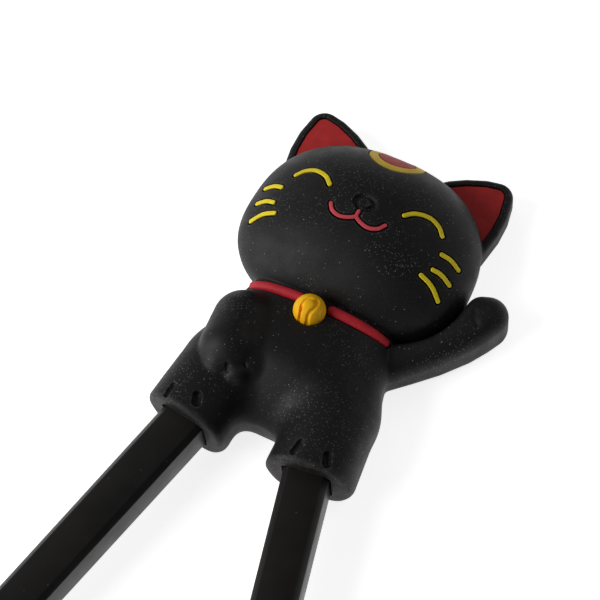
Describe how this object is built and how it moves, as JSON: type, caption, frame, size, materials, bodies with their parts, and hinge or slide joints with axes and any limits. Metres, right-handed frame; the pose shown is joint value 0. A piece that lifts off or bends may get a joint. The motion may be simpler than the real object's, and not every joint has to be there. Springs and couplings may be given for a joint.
{
  "type": "learner chopsticks with animal topper",
  "caption": "Learner chopsticks joined by a black silicone lucky cat with one raised paw; the sticks push into its feet and the silicone springs them open.",
  "frame": {"origin": "on the cat's flat back, behind the bell, 22 mm above the soles and on the cat's middle line", "axes": "+Z out of the cat's face, +Y towards the ears, +X towards the raised paw; the part lies on its back and the stick tips"},
  "size_m": [0.0984, 0.2139, 0.0172],
  "materials": {
    "black_silicone": "matte",
    "stick_plastic": "satin",
    "ear_red": "matte",
    "disc_red": "matte",
    "gold_silicone": "matte",
    "line_yellow": "matte",
    "mouth_red": "matte",
    "collar_red": "matte",
    "bell_yellow": "matte"
  },
  "bodies": {
    "topper": {"topper_body": "black_silicone", "left_ear_inlay": "ear_red", "right_ear_inlay": "ear_red", "forehead_ring": "gold_silicone", "forehead_disc": "disc_red", "left_eye": "line_yellow", "right_eye": "line_yellow", "left_upper_whisker": "line_yellow", "left_middle_whisker": "line_yellow", "left_lower_whisker": "line_yellow", "right_upper_whisker": "line_yellow", "right_middle_whisker": "line_yellow", "right_lower_whisker": "line_yellow", "mouth": "mouth_red", "left_collar": "collar_red", "right_collar": "collar_red", "bell": "bell_yellow"},
    "left_leg": {"left_leg": "black_silicone"},
    "right_leg": {"right_leg": "black_silicone"},
    "left_stick": {"left_chopstick": "stick_plastic"},
    "right_stick": {"right_chopstick": "stick_plastic"}
  },
  "joints": [
    {"name": "left_leg_flex", "type": "hinge", "parent": "topper", "child": "left_leg", "pos_m": [-0.0077, -0.0113, 0.006], "axis": [0, 0, 1], "range_deg": [-4, 15.3], "stiffness_Nm_per_rad": 0.35},
    {"name": "right_leg_flex", "type": "hinge", "parent": "topper", "child": "right_leg", "pos_m": [0.0077, -0.0113, 0.006], "axis": [0, 0, 1], "range_deg": [-15.3, 4], "stiffness_Nm_per_rad": 0.35},
    {"name": "left_stick_pull", "type": "slide", "parent": "left_leg", "child": "left_stick", "axis": [-0.2342, -0.9719, -0.0247], "range_m": [0, 0.015]},
    {"name": "right_stick_pull", "type": "slide", "parent": "right_leg", "child": "right_stick", "axis": [0.2342, -0.9719, -0.0247], "range_m": [0, 0.015]}
  ],
  "couplings": [
    {"joint": "right_leg_flex", "follows": "left_leg_flex", "ratio": -1}
  ]
}
